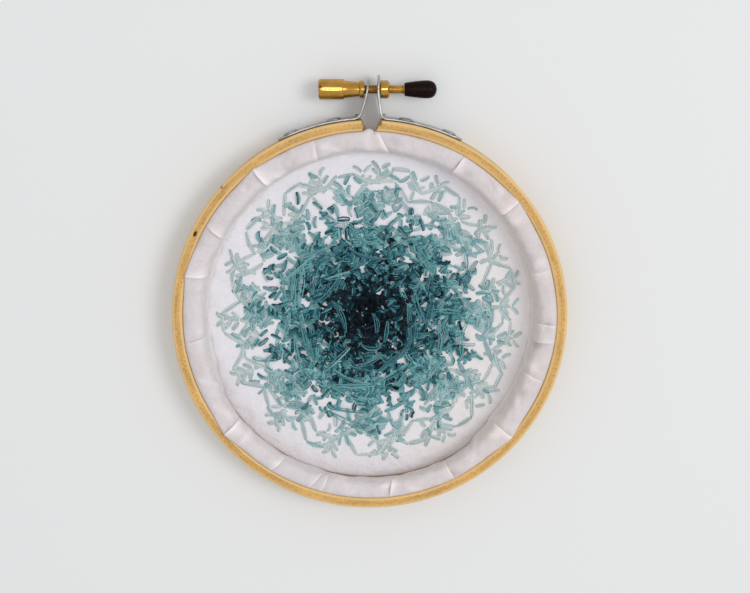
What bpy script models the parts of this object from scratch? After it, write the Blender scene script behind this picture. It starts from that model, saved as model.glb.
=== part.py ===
"""Embroidered cloth in a split wooden hoop, lying on its front with the back of the work up.

Metres, +Z up. The hoop's centre line is parallel to Z and the clamp stands out on the +Y side.
Angles run round the hoop from +X towards +Y, so the clamp is at 90 degrees.
"""
import math

import bmesh
import bpy
from mathutils import Matrix, Vector

MM = 0.001
GAP = 0.3 * MM                      # clearance between separate pieces

# Outer ring: one strip of wood, bent round and split at the clamp
OUTER_R = 55.5 * MM
OUTER_WALL = 3.0 * MM
OUTER_DEPTH = 9.0 * MM
EDGE_ROUND = 0.8 * MM
SPLIT_X = 0.3 * MM                  # middle of the split, right of the hoop's centre
SPLIT_INNER = 2.9 * MM              # width of the split at the ring's inner face
SPLIT_OUTER = 5.4 * MM              # and at its outer face, as the ends are cut on a slant

# Cloth: one sheet, stretched over the inner ring and folded in over its back edge
CLOTH_T = 1.0 * MM
DRUM_CLEAR = 0.6 * MM               # the stretched face stays this far off the surface
CORNER_R = 0.9 * MM                 # bend of the middle of the sheet at the front edge

# Inner ring
INNER_WALL = 3.0 * MM
INNER_TOP = 8.2 * MM

# Clamp: two riveted strips with ears, a thumb screw, a nut and a soft cap on the screw's tip
STRIP_GAP = 0.25 * MM
STRIP_T = 0.6 * MM
STRIP_W = 6.6 * MM
STRIP_END_DEG = 27.0                # far end of a strip, from the clamp
BEND_DEG = 4.4                      # where a strip leaves the ring
RIVETS = {"near": 10.2, "far": 22.9}
RIVET_HEAD_R = 2.1 * MM
RIVET_HEAD_H = 0.55 * MM
RIVET_SHANK_R = 0.9 * MM
RIVET_SHANK_L = 3.2 * MM
SCREW_FROM_CENTRE = 63.7 * MM
LEFT_EAR_TIP = 66.4 * MM
RIGHT_EAR_TIP = 67.6 * MM
SHAFT_R = 1.25 * MM

# Worked out from the sizes above
OUTER_INNER_R = OUTER_R - OUTER_WALL
CLOTH_WALL_R = OUTER_INNER_R - GAP - CLOTH_T / 2
INNER_R = CLOTH_WALL_R - CLOTH_T / 2 - GAP
INNER_HOLE_R = INNER_R - INNER_WALL
DRUM_Z = DRUM_CLEAR + CLOTH_T / 2
INNER_BOTTOM = DRUM_CLEAR + CLOTH_T + GAP
MID_Z = OUTER_DEPTH / 2
CENTRE_Y = -(RIGHT_EAR_TIP - OUTER_R) / 2       # puts the origin under the middle of the box
HOLE_R = SHAFT_R + GAP

# Section of the folded cloth, front to back and in again, as millimetres in radius and height.
# A pleat's lift and spill move each knot by these amounts for a strength of 1.
FOLD_COLUMNS = ("r", "z", "lift_r", "lift_z", "spill_r", "spill_z")
FOLD_SECTION = (
    (51.70, 5.00, 0.00, 0.00, 0.00, 0.00),      # between the rings
    (51.70, 7.90, 0.00, 0.00, 0.00, 0.10),
    (51.58, 8.75, 0.00, 0.15, 0.32, 0.95),      # over the outer ring's edge
    (51.10, 9.25, 0.00, 0.55, 0.85, 1.05),
    (50.10, 9.48, 0.00, 0.90, 0.50, 0.85),      # crown
    (48.85, 9.30, -0.10, 0.85, 0.15, 0.50),
    (47.60, 8.62, -0.50, 0.60, 0.00, 0.20),     # brow of the inner wall
    (46.80, 7.30, -0.80, 0.30, 0.00, 0.00),
    (46.45, 5.50, -0.80, 0.00, 0.00, 0.00),
    (46.60, 3.90, -0.60, 0.00, 0.00, 0.00),
    (46.90, 2.60, -0.35, 0.00, 0.00, 0.00),     # raw edge
)

# Pleats in the folded cloth: place, soft and steep half-widths in degrees (the steep side is
# towards larger angles when "steep" is +1), lift of the fold and spill over the outer ring
PLEAT_COLUMNS = ("deg", "soft", "sharp", "steep", "lift", "spill")
PLEATS = (
    (15.6, 3.5, 1.6, 1, 0.25, 0.00),
    (39.4, 5.5, 1.8, -1, 0.90, 1.00),
    (60.5, 5.0, 1.5, 1, 0.75, 0.00),
    (85.7, 3.2, 1.4, -1, 0.95, 0.25),
    (89.2, 1.9, 1.6, 1, 0.20, 0.95),
    (107.5, 2.6, 1.4, -1, 0.60, 0.00),
    (127.2, 5.0, 1.8, 1, 0.90, 0.95),
    (150.3, 3.6, 1.5, 1, 0.70, 0.15),
    (165.8, 4.2, 1.6, 1, 0.65, 0.80),
    (187.3, 3.0, 1.5, -1, 0.45, 0.10),
    (220.8, 4.8, 1.8, -1, 0.85, 1.00),
    (238.7, 3.4, 1.5, 1, 0.70, 0.15),
    (252.6, 2.2, 1.3, 1, 0.45, 0.00),
    (256.6, 2.2, 1.3, 1, 0.50, 0.00),
    (277.2, 2.8, 1.4, -1, 0.65, 0.05),
    (297.0, 3.4, 1.5, 1, 0.75, 0.20),
    (319.2, 4.6, 1.8, 1, 0.90, 1.00),
    (340.0, 3.4, 1.6, 1, 0.55, 0.10),
    (352.4, 2.4, 1.3, -1, 0.60, 0.10),
    (358.0, 2.4, 1.3, 1, 0.55, 0.10),
)

# Height of the raw edge above its lowest place, round the hoop
HEM_COLUMNS = ("deg", "rise_mm")
HEM = ((0, 0.3), (40, 0.0), (75, 0.4), (110, 0.1), (150, 0.5), (185, 0.2), (214, 0.6), (232, 1.2),
       (243, 0.2), (258, 1.0), (275, 1.2), (283, 0.7), (292, 1.1), (303, 0.2), (330, 0.5))
HEM_LOW = 2.25 * MM

# Turned pieces of the clamp: distance along the screw from the hoop's middle, and radius, in mm
SCREW_PROFILE = ((-14.1, 0.0), (-14.1, 2.35), (-13.75, 2.78), (-7.35, 2.78), (-7.0, 2.4),
                 (-2.9, 1.95), (-2.75, 2.35), (-1.65, 2.35), (-1.65, 1.25), (12.8, 1.25),
                 (13.0, 1.0), (13.0, 0.0))
NUT_PROFILE = ((2.95, 1.55), (2.95, 2.4), (5.05, 2.4), (5.3, 2.1), (5.3, 1.55))
CAP_PROFILE = ((13.4, 0.0), (13.4, 1.55), (9.5, 1.55), (9.5, 1.8), (11.0, 2.05), (13.5, 2.35),
               (15.8, 2.5), (17.1, 2.3), (17.9, 1.75), (18.3, 0.9), (18.4, 0.0))
SLOT_W = 0.7 * MM                   # screwdriver slot in the head's end
SLOT_DEPTH = 0.95 * MM
SLOT_TURN = math.radians(17.6)      # its lean from upright, towards +Y

# Middle line of each ear from the ring outwards: x and distance from the hoop's centre, in mm
EARS = {
    "left": ((-3.3, 56.55), (-2.35, 57.35), (-1.95, 58.2), (-1.05, 61.3), (-0.6, 63.7),
             (-0.35, LEFT_EAR_TIP / MM)),
    "right": ((3.75, 56.55), (3.1, 57.35), (2.85, 58.4), (2.37, 61.3), (2.33, 64.6),
              (2.45, RIGHT_EAR_TIP / MM)),
}


def clear_scene():
    """Start from an empty scene."""
    for obj in list(bpy.data.objects):
        bpy.data.objects.remove(obj, do_unlink=True)


def material(name, colour, roughness, metallic=0.0):
    """A plain Principled material with the finish of one real substance."""
    mat = bpy.data.materials.new(name)
    mat.use_nodes = True
    bsdf = mat.node_tree.nodes["Principled BSDF"]
    bsdf.inputs["Base Color"].default_value = (*colour, 1.0)
    bsdf.inputs["Roughness"].default_value = roughness
    bsdf.inputs["Metallic"].default_value = metallic
    mat.diffuse_color = (*colour, 1.0)
    return mat


def empty(name, place):
    """An empty that carries the pieces fixed to one centre."""
    obj = bpy.data.objects.new(name, None)
    obj.location = place
    bpy.context.collection.objects.link(obj)
    return obj


def mesh_object(name, verts, faces, mat, parent, crease_deg=38):
    """Make one closed object from points and faces, shaded smooth but for its sharp edges."""
    mesh = bpy.data.meshes.new(name)
    mesh.from_pydata([tuple(v) for v in verts], [], faces)
    shape = bmesh.new()
    shape.from_mesh(mesh)
    bmesh.ops.recalc_face_normals(shape, faces=shape.faces)
    shape.to_mesh(mesh)
    shape.free()
    mesh.shade_smooth()
    mesh.set_sharp_from_angle(angle=math.radians(crease_deg))
    mesh.materials.append(mat)
    obj = bpy.data.objects.new(name, mesh)
    bpy.context.collection.objects.link(obj)
    obj.parent = parent
    return obj


def rounded_section(r_low, r_high, z_low, z_high, radius, steps):
    """Corner points of a rectangle with rounded edges, in radius and height, one loop."""
    corners = ((r_high, z_high, 0), (r_low, z_high, 90), (r_low, z_low, 180), (r_high, z_low, 270))
    loop = []
    for r, z, start in corners:
        r_mid = r - radius if start in (0, 270) else r + radius
        z_mid = z - radius if start in (0, 90) else z + radius
        for step in range(steps + 1):
            turn = math.radians(start + 90 * step / steps)
            loop.append((r_mid + radius * math.cos(turn), z_mid + radius * math.sin(turn)))
    return loop


def swept_ring(name, loop, columns, angle_of, closed, mat, parent):
    """Carry a section loop round Z. angle_of(share, radius) gives each point's angle."""
    verts = []
    for column in range(columns + (0 if closed else 1)):
        for r, z in loop:
            angle = angle_of(column / columns, r)
            verts.append((r * math.cos(angle), r * math.sin(angle), z))
    size = len(loop)
    faces = []
    for column in range(columns):
        after = (column + 1) % columns if closed else column + 1
        for i in range(size):
            j = (i + 1) % size
            faces.append((column * size + i, column * size + j, after * size + j, after * size + i))
    if not closed:
        faces.append(tuple(range(size)))
        faces.append(tuple(columns * size + i for i in range(size)))
    return mesh_object(name, verts, faces, mat, parent)


def outer_ring(mat, parent):
    """The split ring: its ends are cut on a slant, wider apart at the outside."""
    def angle_of(share, r):
        across = (r - OUTER_INNER_R) / OUTER_WALL
        half = (SPLIT_INNER + across * (SPLIT_OUTER - SPLIT_INNER)) / 2
        start = math.pi / 2 + math.asin((half - SPLIT_X) / r)
        stop = math.pi * 5 / 2 - math.asin((half + SPLIT_X) / r)
        return start + share * (stop - start)

    loop = rounded_section(OUTER_INNER_R, OUTER_R, 0, OUTER_DEPTH, EDGE_ROUND, 2)
    return swept_ring("outer_ring", loop, 90, angle_of, False, mat, parent)


def inner_ring(mat, parent):
    """The closed ring that the cloth is stretched over."""
    loop = rounded_section(INNER_HOLE_R, INNER_R, INNER_BOTTOM, INNER_TOP, EDGE_ROUND, 1)
    return swept_ring("inner_ring", loop, 72, lambda share, r: share * math.tau, True, mat, parent)


def smooth_step(share):
    """Ease from 0 to 1 with level ends."""
    share = min(max(share, 0.0), 1.0)
    return share * share * (3 - 2 * share)


def round_the_hoop(table, deg):
    """Read a table of (degrees, value) at any angle, easing from one entry to the next."""
    for i, (low, value) in enumerate(table):
        high, after = table[(i + 1) % len(table)]
        span = (high - low) % 360
        inside = (deg - low) % 360
        if inside <= span:
            return value + smooth_step(inside / span) * (after - value)
    return table[0][1]


def pleat_strength(deg, kind):
    """Sum of the pleats' lift or spill at an angle: each is a ridge with one steep side."""
    total = 0.0
    for row in PLEATS:
        pleat = dict(zip(PLEAT_COLUMNS, row))
        away = (deg - pleat["deg"] + 180) % 360 - 180
        width = pleat["sharp"] if away * pleat["steep"] > 0 else pleat["soft"]
        total += pleat[kind] * math.exp(-(away / (0.6 * width)) ** 2)
    return min(total, 1.05)


def cloth_angles():
    """Angles of the cloth's columns: an even set, with more at each pleat."""
    wanted = [float(step) for step in range(0, 360, 6)]
    for row in PLEATS:
        pleat = dict(zip(PLEAT_COLUMNS, row))
        for share in (-1.0, -0.45, 0.0, 0.45, 1.0):
            width = pleat["sharp"] if share * pleat["steep"] > 0 else pleat["soft"]
            wanted.append((pleat["deg"] + share * width) % 360)
    kept = []
    for angle in sorted(wanted):
        if not kept or angle - kept[-1] > 0.9:
            kept.append(angle)
    return kept


def cloth_middle(deg):
    """Middle line of the sheet at one angle, from near the centre out, up, over and in."""
    ripple = 0.12 * MM * math.sin(math.radians(7 * deg)) * math.cos(math.radians(3 * deg))
    line = []
    for r, share in ((16 * MM, 0.0), (30 * MM, 0.2), (40 * MM, 0.8), (45.5 * MM, 0.7)):
        line.append((r, DRUM_Z + ripple * share))
    bend_r = CLOTH_WALL_R - CORNER_R
    for turn in (0, 45, 90):
        slant = math.radians(turn)
        line.append((bend_r + CORNER_R * math.sin(slant),
                     DRUM_Z + CORNER_R * (1 - math.cos(slant))))
    lift = pleat_strength(deg, "lift")
    spill = pleat_strength(deg, "spill")
    lowest = FOLD_SECTION[-1][1] * MM
    belly = FOLD_SECTION[-3][1] * MM
    rise = HEM_LOW + round_the_hoop(HEM, deg) * MM - lowest
    for row in FOLD_SECTION:
        knot = dict(zip(FOLD_COLUMNS, row))
        r = (knot["r"] + lift * knot["lift_r"] + spill * knot["spill_r"]) * MM
        z = (knot["z"] + lift * knot["lift_z"] + spill * knot["spill_z"]) * MM
        if knot["z"] * MM < belly:
            z += rise * (belly - knot["z"] * MM) / (belly - lowest)
        line.append((r, z))
    return line


def cloth(mat, parent):
    """The whole sheet as one closed solid: its middle surface moved half a thickness each way."""
    angles = cloth_angles()
    columns = len(angles)
    lines = [cloth_middle(angle) for angle in angles]
    rows = len(lines[0])
    middle = [[Vector((r * math.cos(math.radians(a)), r * math.sin(math.radians(a)), z))
               for r, z in line] for a, line in zip(angles, lines)]
    verts = [Vector((0, 0, DRUM_Z - CLOTH_T / 2)), Vector((0, 0, DRUM_Z + CLOTH_T / 2))]
    for side in (-1, 1):
        for c in range(columns):
            for row in range(rows):
                along = middle[c][min(row + 1, rows - 1)] - middle[c][max(row - 1, 0)]
                across = middle[(c + 1) % columns][row] - middle[c - 1][row]
                normal = along.cross(across).normalized()
                verts.append(middle[c][row] + normal * side * CLOTH_T / 2)

    def index(side, c, row):
        return 2 + (side * columns + c % columns) * rows + row

    faces = []
    for c in range(columns):
        for side in (0, 1):
            faces.append((side, index(side, c, 0), index(side, c + 1, 0)))
            for row in range(rows - 1):
                faces.append((index(side, c, row), index(side, c + 1, row),
                              index(side, c + 1, row + 1), index(side, c, row + 1)))
        faces.append((index(0, c, rows - 1), index(0, c + 1, rows - 1),
                      index(1, c + 1, rows - 1), index(1, c, rows - 1)))
    return mesh_object("cloth", verts, faces, mat, parent, crease_deg=70)


def cylinder_cutter(name, start, along, radius, parent):
    """A round cutter from one point along a vector, hidden from the finished model."""
    mesh = bpy.data.meshes.new(name)
    shape = bmesh.new()
    turn = along.to_track_quat("Z", "Y").to_matrix().to_4x4()
    place = Matrix.Translation(start + along / 2) @ turn
    bmesh.ops.create_cone(shape, cap_ends=True, segments=16, radius1=radius, radius2=radius,
                          depth=along.length, matrix=place)
    shape.to_mesh(mesh)
    shape.free()
    obj = bpy.data.objects.new(name, mesh)
    bpy.context.collection.objects.link(obj)
    obj.parent = parent
    obj.hide_render = True
    obj.display_type = "WIRE"
    return obj


def cut(obj, cutter):
    """Take a cutter's shape out of an object."""
    boolean = obj.modifiers.new(cutter.name, "BOOLEAN")
    boolean.operation = "DIFFERENCE"
    boolean.solver = "EXACT"
    boolean.object = cutter


def bracket(side, mat, parent):
    """A metal strip that follows the ring, then turns out into an ear with a rounded tip."""
    sign = -1 if side == "left" else 1
    strip_r = OUTER_R + STRIP_GAP + STRIP_T / 2
    path = []
    steps = 12
    for step in range(steps + 1):
        turn = math.radians(STRIP_END_DEG + (BEND_DEG - STRIP_END_DEG) * step / steps)
        path.append(Vector((sign * strip_r * math.sin(turn), strip_r * math.cos(turn), 0)))
    path += [Vector((x * MM, y * MM, 0)) for x, y in EARS[side]]

    round_r = STRIP_W / 2
    first = path[1] - path[0]
    last = path[-1] - path[-2]
    dense = [path[0]] + [path[0] + first.normalized() * round_r * s for s in (0.12, 0.4)]
    dense += path[1:-1]
    dense += [path[-1] - last.normalized() * round_r * s for s in (0.7, 0.4, 0.12)] + [path[-1]]

    run = [0.0]
    for a, b in zip(dense, dense[1:]):
        run.append(run[-1] + (b - a).length)
    verts = []
    for i, point in enumerate(dense):
        ahead = dense[min(i + 1, len(dense) - 1)] - dense[max(i - 1, 0)]
        out = Vector((-ahead.y, ahead.x, 0)).normalized() * STRIP_T / 2
        from_end = min(run[i], run[-1] - run[i], round_r)
        half = math.sqrt(max(round_r ** 2 - (round_r - from_end) ** 2, (0.3 * round_r) ** 2))
        for shift, height in ((-out, -half), (out, -half), (out, half), (-out, half)):
            verts.append(point + shift + Vector((0, 0, MID_Z + height)))
    faces = [(0, 1, 2, 3), tuple(4 * (len(dense) - 1) + k for k in range(4))]
    for i in range(len(dense) - 1):
        for k in range(4):
            m = (k + 1) % 4
            faces.append((4 * i + k, 4 * i + m, 4 * i + 4 + m, 4 * i + 4 + k))
    return mesh_object(f"bracket_{side}", verts, faces, mat, parent)


def turned(name, profile, segments, mat, parent):
    """Turn a profile of (distance along X, radius) pairs in mm about the X axis."""
    verts = []
    loops = []
    for x, r in profile:
        if r == 0:
            loops.append([len(verts)])
            verts.append((x * MM, 0, 0))
            continue
        loops.append(list(range(len(verts), len(verts) + segments)))
        for step in range(segments):
            turn = math.tau * step / segments
            verts.append((x * MM, r * MM * math.cos(turn), r * MM * math.sin(turn)))
    faces = []
    pairs = list(zip(loops, loops[1:]))
    if len(loops[0]) > 1:
        pairs.append((loops[-1], loops[0]))
    for low, high in pairs:
        for step in range(segments):
            after = (step + 1) % segments
            if len(low) == 1:
                faces.append((low[0], high[step], high[after]))
            elif len(high) == 1:
                faces.append((low[step], low[after], high[0]))
            else:
                faces.append((low[step], low[after], high[after], high[step]))
    return mesh_object(name, verts, faces, mat, parent)


def rivet(name, deg, mat, parent):
    """A domed rivet: its head lies on the strip and its shank goes into the wood."""
    seat = OUTER_R + STRIP_GAP + STRIP_T + STRIP_GAP
    head = RIVET_HEAD_R / MM
    high = RIVET_HEAD_H / MM
    shank = RIVET_SHANK_R / MM
    deep = RIVET_SHANK_L / MM
    profile = ((-deep, 0.0), (-deep, shank), (0.0, shank), (0.0, head), (high * 0.35, head),
               (high * 0.8, head * 0.72), (high, head * 0.3), (high, 0.0))
    obj = turned(name, profile, 12, mat, parent)
    angle = math.radians(90 - deg)
    obj.location = (seat * math.cos(angle), seat * math.sin(angle), MID_Z)
    obj.rotation_euler = (0, 0, angle)
    return obj


def screw_slot(parent):
    """The cutter for the screwdriver slot across the head's outer end."""
    x = SCREW_PROFILE[0][0] * MM
    mesh = bpy.data.meshes.new("slot_cutter")
    shape = bmesh.new()
    place = Matrix.Translation((x, 0, 0)) @ Matrix.Rotation(-SLOT_TURN, 4, "X")
    size = Matrix.Diagonal((2 * SLOT_DEPTH, SLOT_W, 8 * MM, 1))
    bmesh.ops.create_cube(shape, size=1, matrix=place @ size)
    shape.to_mesh(mesh)
    shape.free()
    obj = bpy.data.objects.new("slot_cutter", mesh)
    bpy.context.collection.objects.link(obj)
    obj.parent = parent
    obj.hide_render = True
    obj.display_type = "WIRE"
    return obj


def build():
    """Make every piece and set it in its place."""
    clear_scene()
    beech = material("beech", (0.60, 0.33, 0.12), 0.5)
    inner_wood = material("inner_wood", (0.36, 0.20, 0.10), 0.6)
    cotton = material("cotton", (0.78, 0.76, 0.80), 0.9)
    steel = material("plated_steel", (0.62, 0.62, 0.60), 0.3, 1.0)
    brass = material("brass", (0.72, 0.50, 0.20), 0.25, 1.0)
    rubber = material("rubber", (0.03, 0.025, 0.02), 0.45)

    hoop = empty("hoop_centre", (0, CENTRE_Y, 0))
    axis = empty("screw_axis", (0, CENTRE_Y + SCREW_FROM_CENTRE, MID_Z))

    wood = outer_ring(beech, hoop)
    inner_ring(inner_wood, hoop)
    cloth(cotton, hoop)

    through = Vector((12 * MM, 0, 0))
    screw_hole = cylinder_cutter("screw_hole_cutter", -through / 2, through, HOLE_R, axis)
    for side, sign in (("left", -1), ("right", 1)):
        strip = bracket(side, steel, hoop)
        cut(strip, screw_hole)
        for place, deg in RIVETS.items():
            rivet(f"rivet_{side}_{place}", sign * deg, steel, hoop)
            angle = math.radians(90 - sign * deg)
            out = Vector((math.cos(angle), math.sin(angle), 0))
            start = out * (OUTER_INNER_R - MM) + Vector((0, 0, MID_Z))
            hole = cylinder_cutter(f"rivet_cutter_{side}_{place}", start, out * 6 * MM,
                                   RIVET_SHANK_R + GAP, hoop)
            cut(strip, hole)
            cut(wood, hole)

    screw = turned("screw", SCREW_PROFILE, 20, brass, axis)
    cut(screw, screw_slot(axis))
    turned("nut", NUT_PROFILE, 16, brass, axis)
    turned("tip_cap", CAP_PROFILE, 16, rubber, axis)


build()
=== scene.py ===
import math
from collections import namedtuple

import bpy
import numpy as np
from mathutils import Matrix, Vector


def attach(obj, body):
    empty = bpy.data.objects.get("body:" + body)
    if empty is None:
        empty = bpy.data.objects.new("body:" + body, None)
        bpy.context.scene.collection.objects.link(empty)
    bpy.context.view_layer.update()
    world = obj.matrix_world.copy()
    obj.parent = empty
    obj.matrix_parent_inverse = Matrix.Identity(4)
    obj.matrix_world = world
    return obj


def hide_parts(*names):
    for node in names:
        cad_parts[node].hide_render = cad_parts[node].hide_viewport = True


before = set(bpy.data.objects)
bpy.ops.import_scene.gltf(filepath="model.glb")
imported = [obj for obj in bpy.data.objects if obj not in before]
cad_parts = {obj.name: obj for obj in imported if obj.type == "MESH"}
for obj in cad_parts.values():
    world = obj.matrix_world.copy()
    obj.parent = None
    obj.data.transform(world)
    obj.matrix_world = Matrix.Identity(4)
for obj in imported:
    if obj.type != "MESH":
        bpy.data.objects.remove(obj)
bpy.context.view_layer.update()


# Camera: over the back of the work at the photograph's angle, 12 degrees off square towards
# the clamp, and close, so that the lower side of the rim shows the most of its inner wall.
MM = 0.001
HOOP_CENTRE = Vector((0, -6.05, 9.0)) * MM      # hoop's centre line at the outer ring's back edge
CENTRE_Y = HOOP_CENTRE.y / MM
LEAN = math.radians(12.0)
DISTANCE = 400 * MM
AIM_RIGHT = 1.46 * MM                           # the picture's middle, from the hoop's centre
AIM_UP = 6.45 * MM
LENS = 68.5                                     # mm, on a sensor as wide as this
SENSOR = 36

rightward = Vector((1, 0, 0))
upward = Vector((0, math.cos(LEAN), -math.sin(LEAN)))
eye = HOOP_CENTRE + DISTANCE * Vector((0, math.sin(LEAN), math.cos(LEAN)))
back = (eye - HOOP_CENTRE - AIM_RIGHT * rightward - AIM_UP * upward).normalized()
side = upward.cross(back).normalized()
turn = Matrix((side, back.cross(side), back)).transposed().to_4x4()

camera_data = bpy.data.cameras.new("camera")
camera_data.sensor_width = SENSOR
camera_data.lens = LENS
camera_data.clip_start = 10 * MM
camera = bpy.data.objects.new("camera", camera_data)
camera.matrix_world = Matrix.Translation(eye) @ turn
bpy.context.collection.objects.link(camera)
bpy.context.scene.camera = camera
bpy.context.scene.view_settings.view_transform = "Standard"
bpy.context.scene.view_settings.look = "None"


# Light and floor: a pale matt table top, a wide soft key light high on the right, a small light
# near the camera that draws the fine bright lines on the metal, and a pale room.
KEY_PLACE = Vector((1.05, 0.20, 1.36))
KEY_SIZE = 0.70
KEY_WATTS = 9.4
KEY_COLOUR = (1.0, 0.985, 0.96)
FRONT_PLACE = Vector((-0.02, 0.13, 0.80))
FRONT_SIZE = 0.10
FRONT_WATTS = 0.75
FRONT_COLOUR = (1.0, 1.0, 1.0)
ROOM = ((0.0, 0.54), (0.25, 0.64), (1.0, 0.70))     # the room's brightness, horizon to ceiling
FLOOR_COLOUR = (0.765, 0.775, 0.785, 1)


def fill(tree, made, inputs):
    """Set a shader node's inputs by name or number: to a value, or by a link from a socket."""
    for key, value in inputs.items():
        if isinstance(value, bpy.types.NodeSocket):
            tree.links.new(value, made.inputs[key])
        else:
            made.inputs[key].default_value = value


def node(tree, kind, inputs=None, out=0, **settings):
    """Add a shader node with its settings and inputs, and return one of its outputs."""
    made = tree.nodes.new("ShaderNode" + kind)
    for key, value in settings.items():
        setattr(made, key, value)
    fill(tree, made, inputs or {})
    return made.outputs[out]


def ramp(tree, share, stops):
    """Turn a number from 0 to 1 into a colour by a row of (place, colour or grey) stops."""
    made = tree.nodes.new("ShaderNodeValToRGB")
    while len(made.color_ramp.elements) < len(stops):
        made.color_ramp.elements.new(0.5)
    for element, (place, colour) in zip(made.color_ramp.elements, stops):
        element.position = place
        element.color = (*colour, 1) if isinstance(colour, tuple) else (colour, colour, colour, 1)
    tree.links.new(share, made.inputs[0])
    return made.outputs[0]


def new_material(name):
    """A new material and its node tree."""
    made = bpy.data.materials.new(name)
    made.use_nodes = True
    return made, made.node_tree


def surface(tree, inputs):
    """Fill the inputs of the one shader that a new material has."""
    fill(tree, tree.nodes["Principled BSDF"], inputs)


def soft_light(name, place, size, watts, colour):
    """A square area light that faces the hoop."""
    data = bpy.data.lights.new(name, "AREA")
    data.size = size
    data.energy = watts
    data.color = colour
    lamp = bpy.data.objects.new(name, data)
    lamp.location = place
    lamp.rotation_euler = (HOOP_CENTRE - place).to_track_quat("-Z", "Y").to_euler()
    bpy.context.collection.objects.link(lamp)


soft_light("key_light", KEY_PLACE, KEY_SIZE, KEY_WATTS, KEY_COLOUR)
soft_light("front_light", FRONT_PLACE, FRONT_SIZE, FRONT_WATTS, FRONT_COLOUR)

world = bpy.data.worlds.new("room")
world.use_nodes = True
bpy.context.scene.world = world
sky = world.node_tree
height = node(sky, "SeparateXYZ", {0: node(sky, "TexCoord", out="Generated")}, "Z")
fill(sky, sky.nodes["Background"], {"Color": ramp(sky, height, ROOM)})

floor_mesh = bpy.data.meshes.new("floor")
floor_mesh.from_pydata([(-1, -1, 0), (1, -1, 0), (1, 1, 0), (-1, 1, 0)], [], [(0, 1, 2, 3)])
floor = bpy.data.objects.new("floor", floor_mesh)
bpy.context.collection.objects.link(floor)
floor_material, floor_tree = new_material("pale_floor")
surface(floor_tree, {"Base Color": FLOOR_COLOUR, "Roughness": 0.9, "Specular IOR Level": 0.1})
floor_mesh.materials.append(floor_material)


# Outer ring: one steamed strip of pale wood with ray flecks, bent round and split at the clamp,
# with all its edges sanded round. Its ends are cut on a slant, wider apart at the outside.
OUTER_R = 55.5
OUTER_WALL = 3.0
OUTER_DEPTH = 9.0
EDGE_ROUND = 0.8
SPLIT_X = 0.3                                   # middle of the split
SPLIT_INNER = 2.9                               # its width at the inner face
SPLIT_OUTER = 5.4                               # and at the outer face
WALL_MIDDLE = 5.66                              # the wall's middle, round from the back face's
RING_COLUMNS = 540
# edge is the paler colour of the painted highlight on the rounded edges, and of the light flecks
BEECH = {"face": (0.59, 0.345, 0.105), "edge": (0.78, 0.54, 0.25), "band_depth": 0.30}
MARKS = (           # degrees round, distance out, half-lengths across and along, colour, strength
    (153.4, 0.1, 0.46, 0.86, (0.045, 0.003, 0.002), 1.0),       # a dark fleck on the face
    (137.7, 1.35, 0.75, 0.42, (0.22, 0.10, 0.035), 0.7),        # a brown mark at its outer edge
    (91.5, -0.95, 1.00, 0.62, (0.10, 0.035, 0.015), 0.85),      # stains at the two ends
    (447.1, 0.85, 0.75, 0.62, (0.13, 0.045, 0.015), 0.8),
)


def skin(name, points, along_closed=False, caps=(True, True), uv=None, sharp=None):
    """Join a grid of points (along, across, xyz), or many such grids, by quads into one mesh.

    Quad i, j joins points i, j to i+1, j+1. It wraps across, and along where that is closed.
    Where it is open along, caps closes an end by one flat face. uv is a like grid of pairs, one
    longer where the grid wraps. A closed shape with a volume below 0 is turned outwards.
    """
    grids = points if points.ndim == 4 else points[None]
    count, along, across = grids.shape[:3]
    i = np.arange(along if along_closed else along - 1)[:, None]
    j = np.arange(across)[None, :]
    steps = ((i, j), (i + 1, j), (i + 1, j + 1), (i, j + 1))
    quads = np.stack([a % along * across + b % across for a, b in steps], axis=-1).reshape(-1, 4)
    first = (np.arange(count) * along * across)[:, None, None]
    faces = [(first + quads[None]).reshape(-1, 4)]
    ring = np.arange(across)
    if caps[0] and not along_closed:
        faces.append((first[:, 0] + ring[None, ::-1]))
    if caps[1] and not along_closed:
        faces.append((first[:, 0] + (along - 1) * across + ring[None]))
    flat = grids.reshape(-1, 3)
    if along_closed or all(caps):
        a, b, c, d = (flat[faces[0][:, k]] for k in range(4))
        if np.einsum("ij,ij->i", a + b + c + d, np.cross(c - a, d - b)).sum() < 0:
            faces = [f[:, ::-1] for f in faces]
            steps = steps[::-1]
    sizes = np.concatenate([np.full(len(f), f.shape[1]) for f in faces])
    loops = np.concatenate([f.ravel() for f in faces])
    mesh = bpy.data.meshes.new(name)
    mesh.vertices.add(len(flat))
    mesh.vertices.foreach_set("co", (flat * MM).astype(np.float32).ravel())
    mesh.loops.add(len(loops))
    mesh.loops.foreach_set("vertex_index", loops.astype(np.int32))
    mesh.polygons.add(len(sizes))
    mesh.polygons.foreach_set("loop_start", (np.cumsum(sizes) - sizes).astype(np.int32))
    mesh.update(calc_edges=True)
    mesh.shade_smooth()
    if sharp:
        mesh.set_sharp_from_angle(angle=math.radians(sharp))
    if uv is not None:
        maps = uv if uv.ndim == 4 else uv[None]
        corners = np.stack([maps[:, a, b] for a, b in steps], axis=3).reshape(-1, 2)
        spare = np.zeros((len(loops) - len(corners), 2))
        layer = mesh.uv_layers.new(name="surface")
        layer.data.foreach_set("uv", np.concatenate([corners, spare]).astype(np.float32).ravel())
    piece = bpy.data.objects.new(name, mesh)
    bpy.context.collection.objects.link(piece)
    return piece


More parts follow.
